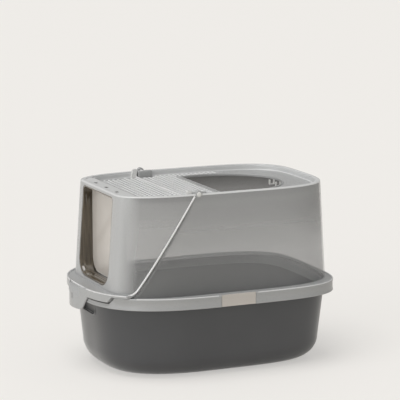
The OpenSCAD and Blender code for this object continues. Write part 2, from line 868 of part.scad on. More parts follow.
module latch_pin() {
    translate([centre_x + latch_x - latch_w / 2 - latch_pin_seat, latch_axis_y, latch_axis_z])
        rotate([0, 90, 0]) cylinder(latch_w + 2 * latch_pin_seat, r = latch_pin_r);
}
module latch_pin_near() color("silver") mirror([0, 1, 0]) latch_pin();
module latch_pin_far() color("silver") latch_pin();

// Scoop hooks at the rear edge of the roof entry

module scoop_hook() {
    // Its back plate hangs from the deck's underside, just behind the entry's edge
    edge = entry_c + entry_l * sqrt(1 - pow(scoop_pitch / 2 / entry_w, 2));
    low = deck_z - scoop_drop;
    translate([centre_x, scoop_pitch / 2 + scoop_w / 2, 0]) rotate([90, 0, 0])
        linear_extrude(scoop_w) difference() {
            translate([edge - scoop_l, low]) square([scoop_l + wall, scoop_drop - wall]);
            translate([edge - scoop_l + scoop_t, low + scoop_t])
                square([scoop_l - scoop_t - over / 2, scoop_drop]);
        }
}
module scoop_hook_near() color("white") mirror([0, 1, 0]) scoop_hook();
module scoop_hook_far() color("white") scoop_hook();

litter_pan();
rear_hood();
front_cover();
door_liner();
door_flap();
hinge_pin_near();
hinge_pin_far();
seam_block_near();
seam_block_far();
side_latch_near();
side_latch_far();
latch_pin_near();
latch_pin_far();
scoop_hook_near();
scoop_hook_far();
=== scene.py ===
"""Looks of a top entry litter box: finer shells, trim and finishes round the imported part."""
from collections import namedtuple
import math

import bmesh
import bpy
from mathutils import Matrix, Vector


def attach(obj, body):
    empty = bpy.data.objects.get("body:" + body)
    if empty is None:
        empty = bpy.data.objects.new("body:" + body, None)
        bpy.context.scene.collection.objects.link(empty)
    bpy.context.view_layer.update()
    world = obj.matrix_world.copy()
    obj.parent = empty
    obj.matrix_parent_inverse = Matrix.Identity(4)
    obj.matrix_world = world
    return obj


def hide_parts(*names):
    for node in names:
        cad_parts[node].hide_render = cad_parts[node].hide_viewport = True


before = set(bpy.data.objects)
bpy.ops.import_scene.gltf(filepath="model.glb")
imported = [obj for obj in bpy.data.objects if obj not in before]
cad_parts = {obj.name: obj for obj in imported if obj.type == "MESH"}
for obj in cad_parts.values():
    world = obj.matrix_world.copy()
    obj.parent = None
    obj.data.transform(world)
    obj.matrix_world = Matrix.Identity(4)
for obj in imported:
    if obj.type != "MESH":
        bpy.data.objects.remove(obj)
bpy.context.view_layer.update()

MM = 0.001

# Driving sizes of the mouldings, in millimetres, as the part has them
ring_l, ring_w, ring_z, ring_top = 650, 476, 183, 213
ring_belly, ring_front_power, ring_rear_power = 4.5, 2.8, 4.5
wall, close_gap, bead_w, gutter, band_bead = 3, 0.6, 4, 2, 3
hood_top, side_ledge, front_ledge, rear_ledge = 463, 31, 37, 7
hood_belly, hood_overreach, hood_front_power, hood_rear_power = 28, 12, 4.1, 3.8
draft, front_lean, corner_r, rim_w, deck_drop = 12.8, 4.6, 13, 11, 15
bar_l, bar_drop, seam_back, hinge_back, hinge_drop = 50, 2, 193, 16, 0.5
cheek_run, cheek_bend, lap_w, ear_r = 42, 35, 9, 9
door_w, door_sill, door_head, door_low_r, door_top_r = 206, 12, 9, 45, 12
entry_rear, entry_l, entry_cut, entry_w, entry_r, entry_bead = 95, 164, 54, 135, 12, 3
rib_h, rib_gap, lip_gap = 21, 1.1, 1.4
pan_inset_top, pan_inset_low, pan_round = 21.5, 33.4, 61
lug_l, lug_w, block_w = 39, 13, 9
latch_w, latch_x, latch_gap = 92, 9.5, 1
tongue_reach, slit_w, ledge_t = 18, 3, 4.4
skirt_proud, skirt_rise, skirt_half = 4, 16, 121
recess_w, recess_h = 96, 37
bar_slot_l, bar_slot_w, hook_pitch, flap_x = 8, 14, 72, 40

# Sizes of what is drawn finer than in the part, or nearer to the real box
rim_r, bar_edge, fillet, bead_r, ridge_show = 3.4, 1.4, 3, 2.3, 4.0
rib_w, pan_edge, recess_d, recess_r = 2.4, 0.8, 10, 17
skirt_end, skirt_run, gap_low, gap_step, gap_slant = 137, 13, 5, 3, 1.6
ring_bead_r, soft_edge, lug_edge = 1.7, 1.4, 2.5
stud_r, stud_h, stud_step, stud_pitch, stud_row = 4.3, 2.6, 1.2, 12.5, 14.2
# What the studs leave free: along the rim, behind the bar, at the rear and beside the seam
rim_clear, bar_clear, rear_clear, seam_clear = 11, 8, 10, 5
# At the seam's end blocks and at the lugs, along the box and in from the deck's side
block_clear_x, block_clear_y, lug_clear_x, lug_clear_y = 24, 20, 32, 10
# Ahead of the entry, and beside its curve up to where they end
entry_clear, entry_clear_x, entry_clear_y, studs_end = 10, 11, 15, 130

# Worked out from them; the tongue's reach puts mid-length this far behind the ring's centre
centre_x = tongue_reach / 2
plate_top = ring_top - gutter
plate_low = plate_top - wall
cover_low = ring_top + close_gap
deck_z = hood_top - deck_drop
hood_front = -ring_l / 2 + front_ledge
flap_plane = hood_front + flap_x
hood_half = ring_w / 2 - side_ledge
seam_x = hood_front + seam_back
hinge_x = seam_x + hinge_back
hinge_z = hood_top - hinge_drop
entry_c = ring_l / 2 - entry_rear - entry_l
entry_x = entry_c - entry_cut
door_low = ring_top + door_sill
door_top = hood_top - door_head
skirt_low = ring_z + skirt_rise
pan_slope = (pan_inset_low - pan_inset_top) / (ring_z - pan_round)
lean_slope = (draft + front_lean) / (hood_top - ring_top)
# The cover's ledge, skirt and tongue end below this height, its walls begin there
ledge_split = cover_low + ledge_t + 4

# Where the thin walls turn from clear to milky: up the sides, and forward round the nose
milky_from, milky_to = 300, 440
nose_from, nose_to = -248, -286

# Past every edge of the box, past a single wall, and the overlap of joined pieces
FAR, PAST, OVER = 900, 20, 1

# Angles in degrees up to which edges are shaded smooth
SHELL_ANGLE, PAN_ANGLE, STUD_ANGLE, BEAD_ANGLE = 34, 40, 50, 60

# Points along one side of an outline: front flat, front corner, front curve, rear curve
FLAT, CORNER, SIDE, REAR = 8, 26, 40, 56
# Points of the entry's straight edge and of its curve, of a corner, and of the seam's bend
ENTRY_FLAT, ENTRY_CURVE, ROUND, BEND = 6, 48, 8, 12


# Outlines

# The plan of a moulding: its widest place, the run of its front curve, its front and rear ends,
# its half width, and the powers of the two curves
Form = namedtuple("Form", "belly run front rear half front_power rear_power")


def ring_form(inset):
    return Form(-ring_belly, ring_l / 2 - ring_belly - inset, -ring_l / 2 + inset, ring_l / 2 - inset,
                ring_w / 2 - inset, ring_front_power, ring_rear_power)


def hood_form(z, inset):
    rise = (z - ring_top) / (hood_top - ring_top)
    taper = draft * rise + inset
    return Form(hood_belly, hood_belly - hood_front + hood_overreach - taper,
                hood_front + (draft + front_lean) * rise + inset, ring_l / 2 - rear_ledge - taper,
                hood_half - taper, hood_front_power, hood_rear_power)


bar_back = hood_form(hood_top, 0).front + bar_l


def front_point(form, turn):
    return (form.belly - form.run * math.sin(turn) ** (2 / form.front_power),
            form.half * math.cos(turn) ** (2 / form.front_power))


def rear_point(form, turn):
    return (form.belly + (form.rear - form.belly) * math.sin(turn) ** (2 / form.rear_power),
            form.half * max(0, math.cos(turn)) ** (2 / form.rear_power))


def front_angle(form, x):
    return math.asin(min(1, (form.belly - x) / form.run) ** (form.front_power / 2))


def bulge(share, power):
    """How far out a curve lies at this share of its run, as a share of its own reach."""
    return (1 - share ** power) ** (1 / power)


def half_width(form, x):
    if x < form.belly:
        return form.half * bulge((form.belly - x) / form.run, form.front_power)
    return form.half * bulge((x - form.belly) / (form.rear - form.belly), form.rear_power)


def front_x(form, y):
    return form.belly - form.run * bulge(y / form.half, form.front_power)


def steps(count):
    return [k / count for k in range(count)]


def quarter_turn(count):
    return [math.pi / 2 * k / count for k in range(count + 1)]


def between(start, finish, share):
    return tuple(a + (b - a) * share for a, b in zip(start, finish))


def rounded_corner(start, corner, finish):
    """Points of the curve that rounds a corner, from its start up to its finish."""
    return [tuple((1 - s) ** 2 * a + 2 * s * (1 - s) * b + s * s * c
                  for a, b, c in zip(start, corner, finish)) for s in steps(ROUND)]


def corner_points(form, front):
    """The rounded upright corner between a front flat and the front curve."""
    corner = front_point(form, front_angle(form, front))
    start = (front, corner[1] - corner_r)
    finish = front_point(form, front_angle(form, front + corner_r))
    return start, rounded_corner(start, corner, finish)


def mirrored(side, tail):
    """A whole outline from one side of it, from the front's middle round to the rear's middle."""
    return side + [(tail, 0)] + [(x, -y) for x, y in reversed(side[1:])]


def past_corner(form, start_x):
    join = front_angle(form, start_x)
    return ([front_point(form, join * (1 - s)) for s in steps(SIDE)]
            + [rear_point(form, math.pi / 2 * s) for s in steps(REAR)])


def hood_outline(z, inset):
    """Outline of the hood's wall: a flat face in front, then the corner and the long curve."""
    form = hood_form(z, inset)
    start, corner = corner_points(form, form.front)
    first, last = front_angle(form, form.front + corner_r), front_angle(form, bar_back + corner_r)
    curve = [front_point(form, first + (last - first) * s) for s in steps(CORNER - ROUND)]
    flat = [(form.front, start[1] * s) for s in steps(FLAT)]
    return mirrored(flat + corner + curve + past_corner(form, bar_back + corner_r), form.rear)


def deck_outline(z, inset, lead=0.0):
    """Outline of the deck's recess, which stops short at the wide front bar; lead widens it there."""
    form = hood_form(z, inset)
    front = bar_back + inset - rim_w - lead
    start, corner = corner_points(form, front)
    flat = [(front, start[1] * s) for s in steps(FLAT + CORNER - ROUND)]
    return mirrored(flat + corner + past_corner(form, front + corner_r), form.rear)


def ring_outline(inset):
    form = ring_form(inset)
    last = front_angle(form, bar_back + corner_r)
    nose = [front_point(form, last + (math.pi / 2 - last) * (1 - s)) for s in steps(FLAT + CORNER)]
    nose[0] = (form.belly - form.run, 0)
    return mirrored(nose + past_corner(form, bar_back + corner_r), form.rear)


def entry_outline(inset):
    """The D of the roof entry: a straight front edge, two rounded corners and a long curve."""
    long, wide, front = entry_l - inset, entry_w - inset, entry_x + inset
    turn = math.acos((front - entry_c) / long)
    last = math.acos((front + entry_r - entry_c) / long)
    corner = (front, wide * math.sin(turn))
    start = (front, corner[1] - entry_r)
    finish = (entry_c + long * math.cos(last), wide * math.sin(last))
    side = [(front, start[1] * s) for s in steps(ENTRY_FLAT)] + rounded_corner(start, corner, finish)
    side += [(entry_c + long * math.cos(last * (1 - s)), wide * math.sin(last * (1 - s)))
             for s in steps(ENTRY_CURVE)]
    return mirrored(side, entry_c + long)


def rounded_rectangle(low, high, low_r, high_r, count=10):
    """Outline [y, z] of a doorway-like shape with its own corner radii below and above."""
    points = []
    for centre_y, centre_z, radius, start in (
            (high[0] - low_r, low[1] + low_r, low_r, 0), (low[0] + low_r, low[1] + low_r, low_r, -90),
            (low[0] + high_r, high[1] - high_r, high_r, -180),
            (high[0] - high_r, high[1] - high_r, high_r, -270)):
        for k in range(count + 1):
            turn = math.radians(start - 90 * k / count)
            points.append((centre_y + radius * math.cos(turn), centre_z + radius * math.sin(turn)))
    return points


# The seam between cover and hood, seen from the side
cheek_top = (hinge_x - ear_r, hinge_z - ear_r / 2)
cheek_angle = math.atan((cheek_top[0] - hood_front - cheek_run) / (cheek_top[1] - cover_low))


def seam_at(z, gap):
    return cheek_top[0] + gap / math.cos(cheek_angle) - (cheek_top[1] - z) * math.tan(cheek_angle)


def seam_line(gap, low, high):
    """Side view of the seam: along the cover's foot, round the bend and up the cheek's edge."""
    sweep = math.pi / 2 - cheek_angle
    bend_x = seam_at(cover_low, gap) - cheek_bend * math.tan(sweep / 2)
    bend = [(bend_x + cheek_bend * math.sin(a), cover_low - gap + cheek_bend * (1 - math.cos(a)))
            for a in [sweep * k / BEND for k in range(BEND + 1)]]
    foot = [(bend_x, low)] if low < cover_low - gap - 0.01 else []
    return foot + bend + [(seam_at(high, gap), high)]


# Mesh tools

def select_only(piece):
    bpy.ops.object.select_all(action="DESELECT")
    piece.select_set(True)
    bpy.context.view_layer.objects.active = piece


def edit(piece):
    select_only(piece)
    bpy.ops.object.mode_set(mode="EDIT")
    bpy.ops.mesh.select_mode(type="VERT")
    bpy.ops.mesh.select_all(action="SELECT")


def leave_edit():
    bpy.ops.object.mode_set(mode="OBJECT")


def fill_open_edges():
    bpy.ops.mesh.select_all(action="DESELECT")
    bpy.ops.mesh.select_non_manifold(extend=False)
    bpy.ops.mesh.edge_face_add()


def face_outwards():
    """Turns all faces of the piece in edit mode outwards, and leaves edit mode."""
    bpy.ops.mesh.select_all(action="SELECT")
    bpy.ops.mesh.normals_make_consistent(inside=False)
    leave_edit()


def world_point(x, y, z):
    return ((x + centre_x) * MM, y * MM, z * MM)


def loft(name, rings, closed=False, finishes=(), outer=(), inner=(), rolled=()):
    """Wraps a grid round a stack of outlines [(outline, z)], and caps it or joins its ends.

    The finishes are for solid places, the outer and the inner face of thin walls, and the rolled rim;
    outer, inner and rolled name the rows between two outlines that take the last three."""
    rings = rings + rings[:1] * closed
    columns, rows = len(rings[0][0]), len(rings) - 1
    bpy.ops.mesh.primitive_grid_add(x_subdivisions=columns, y_subdivisions=rows, size=2)
    piece = bpy.context.active_object
    piece.name = name
    for finish in finishes:
        piece.data.materials.append(finish)
    for face in piece.data.polygons:
        row = int((face.center.y + 1) / 2 * rows)
        face.material_index = 1 if row in outer else 2 if row in inner else 3 if row in rolled else 0
    for vertex in piece.data.vertices:
        column = round((vertex.co.x + 1) / 2 * columns) % columns
        outline, z = rings[round((vertex.co.y + 1) / 2 * rows)]
        vertex.co = world_point(*outline[column], z)
    edit(piece)
    bpy.ops.mesh.remove_doubles(threshold=0.002 * MM)
    if not closed:
        fill_open_edges()
    face_outwards()
    return piece


def swept(name, outline, profile, finishes=()):
    """Carries a closed profile of (inset, height) pairs round an outline."""
    return loft(name, [(outline(inset), z) for inset, z in profile], closed=True, finishes=finishes)


def prism(name, points, place, low, high):
    """Fills an outline and extrudes it; place turns (a, b, depth) into a point in the ring's frame."""
    bpy.ops.mesh.primitive_circle_add(vertices=len(points), fill_type="NGON")
    piece = bpy.context.active_object
    piece.name = name
    for vertex, (a, b) in zip(piece.data.vertices, points):
        vertex.co = world_point(*place(a, b, low))
    edit(piece)
    shift = Vector(world_point(*place(0, 0, high))) - Vector(world_point(*place(0, 0, low)))
    bpy.ops.mesh.extrude_region_move(TRANSFORM_OT_translate={"value": shift})
    face_outwards()
    return piece


def side_view(x, z, y):
    return x, y, z


def front_view(y, z, x):
    return x, y, z


def plan_view(x, y, z):
    return x, y, z


def box(name, low, high, bevel=0.0):
    bpy.ops.mesh.primitive_cube_add(size=1)
    piece = bpy.context.active_object
    piece.name = name
    for vertex in piece.data.vertices:
        vertex.co = world_point(*(low[i] if vertex.co[i] < 0 else high[i] for i in range(3)))
    if bevel:
        edit(piece)
        bpy.ops.mesh.bevel(offset=bevel * MM, segments=3, affect="EDGES")
        leave_edit()
    return piece


def side_box(name, side, low, high, bevel=0.0):
    """A box given by its corners on the far side (side 1), or mirrored to the near side (side -1)."""
    y0, y1 = sorted((side * low[1], side * high[1]))
    return box(name, (low[0], y0, low[2]), (high[0], y1, high[2]), bevel)


def boolean(piece, tool, operation="DIFFERENCE"):
    """Cuts one piece with another, which is used up."""
    select_only(piece)
    modifier = piece.modifiers.new("cut", "BOOLEAN")
    modifier.operation = operation
    modifier.object = tool
    modifier.solver = "EXACT"
    bpy.ops.object.modifier_apply(modifier="cut")
    bpy.data.objects.remove(tool)
    return piece


def join(pieces, name, solid=None):
    """Makes one piece of several; those that have no material of their own take the solid one."""
    for piece in pieces[1:] if solid else ():
        if not piece.data.materials:
            piece.data.materials.append(solid)
    bpy.ops.object.select_all(action="DESELECT")
    for piece in pieces:
        piece.select_set(True)
    bpy.context.view_layer.objects.active = pieces[0]
    bpy.ops.object.join()
    pieces[0].name = name
    pieces[0].data.name = name
    return pieces[0]


# Materials

PLASTIC_IOR = 1.49
# Swells to the metre in the slow drift of colour over a moulded face
DRIFT = 9.0
# Share of the lamps' light that a smoky wall's body would stop and that is let on
LET_ON = 0.55


def linear(hex_colour):
    """An sRGB colour, written as on screen, in the linear values that a shader takes."""
    parts = [int(hex_colour[i:i + 2], 16) / 255 for i in (1, 3, 5)]
    return tuple(c / 12.92 if c <= 0.04045 else ((c + 0.055) / 1.055) ** 2.4 for c in parts) + (1,)


def add(tree, kind, settings=None, **links):
    """Adds one node, sets what it is given and links its inputs."""
    node = tree.nodes.new(kind)
    for key, value in (settings or {}).items():
        if isinstance(key, int) or key in node.inputs:
            node.inputs[key].default_value = value
        else:
            setattr(node, key, value)
    for key, source in links.items():
        tree.links.new(source, node.inputs[key.replace("_", " ")])
    return node


def new_material(name):
    material = bpy.data.materials.new(name)
    material.use_nodes = True
    material.node_tree.nodes.clear()
    return material, material.node_tree


def mixed(tree, share, first, settings):
    """A mix whose second input is a setting, led by the share and fed with the first colour or value."""
    mix = add(tree, "ShaderNodeMix", settings)
    tree.links.new(share, mix.inputs[0])
    tree.links.new(first, mix.inputs[6 if mix.data_type == "RGBA" else 2])
    return mix.outputs[2 if mix.data_type == "RGBA" else 0]


def light_through(tree, shader, body):
    """Lets part of the lamps' light on through a smoky face, whose looks keep their full body."""
    shadow = add(tree, "ShaderNodeLightPath").outputs["Is Shadow Ray"]
    passed = add(tree, "ShaderNodeMath", {"operation": "MULTIPLY_ADD", 1: -LET_ON, 2: 1.0}, Value=shadow)
    kept = add(tree, "ShaderNodeMath", {"operation": "MULTIPLY"}, Value=passed.outputs[0])
    tree.links.new(body, kept.inputs[1])
    tree.links.new(kept.outputs[0], shader.inputs["Alpha"])


def moulded_nodes(name, colour, shade_colour, roughness=0.28, grain_mm=2.2, grain_height=0.05,
                  alpha=1.0, coat=0.0, flow=1.0, metal=0.0, sheen=0.0):
    """A moulded or turned surface: fine grain from its making, a slow drift of colour and gloss."""
    material, tree = new_material(name)
    place = add(tree, "ShaderNodeTexCoord").outputs["Object"]
    grain = add(tree, "ShaderNodeTexNoise", {"Scale": 1 / (grain_mm * MM), "Detail": 2.0}, Vector=place)
    # Flow stretches the drift into long streaks; on the gloss liner its pale streaks are painted
    # reflections.
    drawn = add(tree, "ShaderNodeMapping", {"Scale": (flow, flow, 1)}, Vector=place)
    drift = add(tree, "ShaderNodeTexNoise", {"Scale": DRIFT, "Detail": 3.0}, Vector=drawn.outputs[0])
    tone = add(tree, "ShaderNodeMix", {"data_type": "RGBA", 6: linear(shade_colour), 7: linear(colour)})
    tree.links.new(drift.outputs["Fac"], tone.inputs[0])
    gloss = add(tree, "ShaderNodeMapRange", {"To Min": roughness - 0.05, "To Max": roughness + 0.06},
                Value=grain.outputs["Fac"])
    bump = add(tree, "ShaderNodeBump", {"Strength": 0.35, "Distance": grain_height * MM},
               Height=grain.outputs["Fac"])
    shader = add(tree, "ShaderNodeBsdfPrincipled",
                 {"Metallic": metal, "Alpha": alpha, "Coat Weight": coat, "Coat Roughness": 0.07,
                  "Sheen Weight": sheen, "Sheen Roughness": 0.35},
                 Roughness=gloss.outputs["Result"], Normal=bump.outputs["Normal"])
    if not metal:
        shader.inputs["IOR"].default_value = PLASTIC_IOR
    tree.links.new(tone.outputs[2], shader.inputs["Base Color"])
    add(tree, "ShaderNodeOutputMaterial", Surface=shader.outputs["BSDF"])
    return material, tree, shader, tone


def moulded(*looks, **finish):
    return moulded_nodes(*looks, **finish)[0]


def smoky_wall(name, low_colour, top_colour, low_alpha, top_alpha, front_colour, front_alpha):
    """One face of a thin smoky wall: clearer low down, milkier towards the rim and over the nose; its
    colour follows the same height and nose, and on inner faces that colour is painted shade.
    """
    material, tree, shader, tone = moulded_nodes(name, low_colour, low_colour)
    place = add(tree, "ShaderNodeTexCoord").outputs["Object"]
    parts = add(tree, "ShaderNodeSeparateXYZ", Vector=place)
    rise = add(tree, "ShaderNodeMapRange", {"From Min": milky_from * MM, "From Max": milky_to * MM},
               Value=parts.outputs["Z"]).outputs["Result"]
    lean = add(tree, "ShaderNodeMath", {"operation": "MULTIPLY_ADD", 1: -lean_slope},
               Value=parts.outputs["Z"])
    tree.links.new(parts.outputs["X"], lean.inputs[2])
    front = add(tree, "ShaderNodeMapRange", {"From Min": nose_from * MM, "From Max": nose_to * MM},
                Value=lean.outputs[0]).outputs["Result"]
    side_colour = mixed(tree, rise, tone.outputs[2], {"data_type": "RGBA", 7: linear(top_colour)})
    colour = mixed(tree, front, side_colour, {"data_type": "RGBA", 7: linear(front_colour)})
    tree.links.new(colour, shader.inputs["Base Color"])
    side_body = add(tree, "ShaderNodeMapRange", {"To Min": low_alpha, "To Max": top_alpha}, Value=rise)
    body = mixed(tree, front, side_body.outputs["Result"], {"data_type": "FLOAT", 3: front_alpha})
    light_through(tree, shader, body)
    return material


# Polypropylene moulded in a spark-eroded mould: matt and even, a soft sheen where light grazes it
pan_plastic = moulded("polypropylene_dark_grey_spark_grain", "#4d4e50", "#454648", 0.36, 1.2, 0.12,
                      sheen=1.0)
# Smoky polypropylene, thick places: milky grey, almost solid, smooth as the polished mould
hood_solid = moulded("polypropylene_smoke_thick", "#b2b3b3", "#aaabab", alpha=0.9)
# The same in the cover, a touch paler and more solid
cover_solid = moulded("polypropylene_smoke_thick_cover", "#b4b5b5", "#acadad", 0.26, alpha=0.92)
# The same in a thin wall: it looks smoked low down, where the dark pan shows through, and milky above
hood_outer = smoky_wall("polypropylene_smoke_outer_face", "#aaabab", "#cdcece", 0.27, 0.5,
                        "#bcbdbd", 0.8)
# Thin walls of the cover from outside: more even than the hood's, and almost solid round the nose
cover_outer = smoky_wall("polypropylene_smoke_cover_outer_face", "#b5b6b6", "#bebfbf", 0.3, 0.45,
                         "#bebfbf", 0.85)
# The hood's inner faces: painted shade, darker than the outer faces as light reaches them only through the
# wall, and darkest under the deck
hood_inner_painted_shade = smoky_wall("polypropylene_smoke_inner_face_painted_shade", "#9a9b9b", "#2f3030", 0.33, 0.84,
                        "#9c9d9d", 0.8)
# The cover's inner faces: painted shade, darker than the outer faces but grey all over, since light comes
# in through the doorway and both cheeks
cover_inner_painted_shade = smoky_wall("polypropylene_smoke_cover_inner_face_painted_shade", "#929393", "#838484", 0.33, 0.5,
                         "#a4a5a5", 0.85)
# Low studs of the same polypropylene, painted paler than the deck as a painted highlight, so each stands
# out as a pale speck
stud_painted_highlight = moulded("polypropylene_deck_studs_painted_highlight", "#d8d9d9", "#cccdcd", 0.22, grain_height=0.03)
# The ring is thick and backed by the pan's lip: solid grey with a satin gloss
ring_plastic = moulded("polypropylene_smoke_ring", "#a8a9a9", "#9fa0a0")
# Ledge, skirt and tongue: thick polypropylene, satin, a shade darker than the rim
ledge_plastic = moulded("polypropylene_smoke_ledge", "#acadad", "#a4a5a5")
# Walls of the tongue's narrow slit, which hardly any light reaches: painted shade
slit_painted_shade = moulded("polypropylene_slit_wall_painted_shade", "#4a4a4a", "#3e3e3e", 0.5)
# The rolled rim is painted paler than the walls: a painted highlight where its rounded edges catch the
# light
rim_painted_highlight = moulded("polypropylene_smoke_rim_painted_highlight", "#d6d7d7", "#cecfcf", 0.22)
# Edge of the ring: a glossy bead painted pale, a painted highlight line
ring_edge_painted_highlight = moulded("polypropylene_ring_edge_painted_highlight", "#d8d9d9", "#cecfcf", 0.18, grain_height=0.03)
# The bead along the cover's edge and the seam ridge, painted near white as a painted highlight: the
# clearest and glossiest line of the whole piece
edge_painted_highlight = moulded("polypropylene_rolled_edge_painted_highlight", "#ececec", "#e2e2e2", 0.16, grain_height=0.03)
# High-gloss ABS in dark umber: deep brown, with long pale painted reflections streaked along the frame
liner_plastic = moulded("abs_gloss_umber", "#7a6f5e", "#15110c", 0.1, 3.0, 0.02, coat=1.0, flow=18.0)
# Thin PET sheet with a warm smoke tint: part of what is behind shows, and its face has a soft gloss
flap_plastic = moulded("pet_sheet_smoke", "#e4ded7", "#d8d2cb", 0.2, 3.0, 0.03, alpha=0.6)
# Unpigmented polypropylene: clear to milky with a warm cast, the ring shows through it
latch_plastic = moulded("polypropylene_clear_latch", "#dcd6cf", "#d2ccc5", 0.22, 2.0, 0.04, alpha=0.7)
# White ABS, polished mould: small knobs and blocks with a clean highlight
trim_plastic = moulded("abs_gloss_white", "#e2e2e0", "#d8d8d6", 0.2, 2.5, 0.03)
# Turned stainless steel: bright, with fine turning marks, drawn coarser than real so that they show
pin_metal = moulded("stainless_turned", "#c8c9cb", "#bcbdbf", 0.3, 0.6, 0.02, metal=1.0)

FINISHES = {
    "pan_grey": pan_plastic, "hood_smoke": hood_solid, "cover_smoke": cover_solid,
    "liner_brown": liner_plastic, "flap_clear": flap_plastic, "latch_clear": latch_plastic,
    "trim_white": trim_plastic, "pin_steel": pin_metal,
}


def finish_piece(piece, angle, body, slot_name, *nodes, material=None):
    """Shades a piece, gives it its material unless it has several, and says what it rides and replaces."""
    select_only(piece)
    bpy.ops.object.shade_smooth_by_angle(angle=math.radians(angle))
    if material or len(piece.data.materials) < 2:
        piece.data.materials.clear()
        piece.data.materials.append(material or FINISHES[slot_name])
    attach(piece, body)
    if nodes:
        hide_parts(*nodes)


def part_copy(node):
    """A copy of one of the part's own solids, with its loose triangles joined."""
    piece = bpy.data.objects.new(node + "_shell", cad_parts[node].data.copy())
    bpy.context.scene.collection.objects.link(piece)
    edit(piece)
    bpy.ops.mesh.remove_doubles(threshold=0.01 * MM)
    bpy.ops.mesh.dissolve_limited(angle_limit=math.radians(0.1))
    leave_edit()
    return piece


# Hood and cover, drawn as one shell and parted at the seam

def drawn_shell(foot, finishes):
    """Walls, rolled rim, front bar and sunk deck, from the given height up."""
    rings = [(deck_outline(deck_z, rim_w - wall), deck_z - wall),
             (deck_outline(hood_top, rim_w - wall), hood_top - wall),
             (hood_outline(hood_top, wall), hood_top - wall - 0.4),
             (hood_outline(foot, wall), foot), (hood_outline(foot, 0), foot)]
    inner_row, outer_row = 2, 4
    for share in (1, 2, 3, 4):
        z = foot + (hood_top - rim_r - foot) * share / 5
        rings.append((hood_outline(z, 0), z))
    rim_row = len(rings)
    for turn in quarter_turn(6):
        z = hood_top - rim_r * (1 - math.sin(turn))
        rings.append((hood_outline(z, rim_r * (1 - math.cos(turn))), z))
    for turn in quarter_turn(4):
        z = hood_top - bar_edge * (1 - math.cos(turn))
        rings.append((hood_outline(z, rim_w - bar_edge * (1 - math.sin(turn))), z))
    bar_z, bar_inset = hood_top - bar_drop, rim_w + 0.5
    rings.append((hood_outline(bar_z, rim_w + 0.2), bar_z))
    # The bar's rear edge falls away softly; each step is a lead to the front, a rise and a fall
    for lead, rise, fall in ((8, 1, 0), (5.6, 0.4, 0.3), (3.4, 0, 1), (1.2, 0, 3)):
        rings.append((deck_outline(bar_z, bar_inset - bar_edge * rise, lead), bar_z - bar_edge * fall))
    for turn in quarter_turn(4):
        z = deck_z + fillet * (1 - math.sin(turn))
        rings.append((deck_outline(z, rim_w + 0.6 + fillet * (1 - math.cos(turn))), z))
    return loft("drawn_shell", rings, finishes=finishes, outer=range(outer_row, rim_row),
                inner=(inner_row,), rolled=range(rim_row, len(rings) - 2))


def cover_area(gap, low):
    """All that lies ahead of the seam, moved back by the gap, over the box's full width."""
    high = hood_top + PAST
    outline = [(-FAR, low)] + seam_line(gap, low, high) + [(-FAR, high)]
    return prism("cover_area", outline, side_view, -FAR, FAR)


def deck_side(gap):
    return half_width(hood_form(hood_top, rim_w), seam_x) - close_gap - gap


def cover_zone(gap, low):
    """All that the cover takes: its cheeks, and the deck ahead of the seam."""
    keep = box("deck_keep", (seam_x + gap, -deck_side(gap), deck_z - 2 * wall), (FAR, deck_side(gap), FAR))
    return boolean(cover_area(gap, low), keep)


def ring_band():
    """The flange ring: skirt with a bead along both edges, and the plate in to the hood."""
    b = band_bead
    profile = [(wall, plate_low), (wall, ring_z + 0.6), (wall - 0.8, ring_z), (0.5 * b, ring_z),
               (0.2 * b, ring_z + 0.1 * b), (0, ring_z + 0.4 * b), (0, ring_z + b),
               (0.12 * b, ring_z + 1.3 * b), (0.3 * b, ring_z + 1.6 * b), (0.3 * b, ring_top - 2.1 * b),
               (0.12 * b, ring_top - 1.8 * b), (0, ring_top - 1.5 * b), (0, ring_top - 0.7 * b),
               (0.14 * b, ring_top - 0.3 * b), (0.4 * b, ring_top - 0.08 * b), (0.8 * b, ring_top),
               (bead_w - 0.4, ring_top - 0.1), (bead_w + 0.5, ring_top - 0.8),
               (bead_w + gutter, plate_top + 0.2), (bead_w + gutter + 1, plate_top)]
    rings = [(ring_outline(inset), z) for inset, z in profile]
    rings += [(hood_outline(plate_top, 0.5), plate_top), (hood_outline(plate_low, wall), plate_top),
              (hood_outline(plate_low, wall), plate_low)]
    return loft("ring_band", rings, closed=True, finishes=(ring_plastic,))


def flange_ring():
    """The ring with both latch windows, and the gap that shows dark along the skirt's low edge."""
    ring = ring_band()
    half, depth, past = latch_w / 2 + latch_gap, 9, 5
    for side in (-1, 1):
        boolean(ring, side_box("latch_window", side, (latch_x - half, ring_w / 2 - depth, ring_z - past),
                               (latch_x + half, ring_w / 2 + PAST, ring_top + past)))
    edge = [(-skirt_end - skirt_run, cover_low), (-skirt_end, skirt_low), (skirt_end, skirt_low),
            (skirt_end + skirt_run, cover_low)]
    below = [(y, z - gap_low) if z == skirt_low else (y + math.copysign(gap_slant, y), z - gap_step)
             for y, z in edge]
    return boolean(ring, prism("skirt_shadow_gap", edge + below[::-1], front_view, -FAR,
                               hood_front + corner_r))


def entry_rim():
    """Round bead along the edge of the roof entry."""
    profile = [(-bead_w, -1), (-bead_w, 1.6), (-bead_w * 0.8, 2.6), (-bead_w / 2, entry_bead),
               (-bead_w * 0.2, 2.6), (-0.05, 1.4), (-0.05, -1)]
    return swept("entry_bead", entry_outline, [(inset, deck_z + rise) for inset, rise in profile])


def pan_inset(z):
    """How far the pan's wall lies inside the ring's edge at this height."""
    return pan_inset_low - (z - pan_round) * pan_slope


def inner_rib():
    """The rib under the ring's plate that keeps the hood in place inside the pan."""
    top, low = plate_top - OVER, plate_low - rib_h
    outside = pan_inset(low) + wall + rib_gap
    inside = outside + rib_w
    return swept("inner_rib", ring_outline, [(outside, top), (outside, low), (inside, low), (inside, top)])


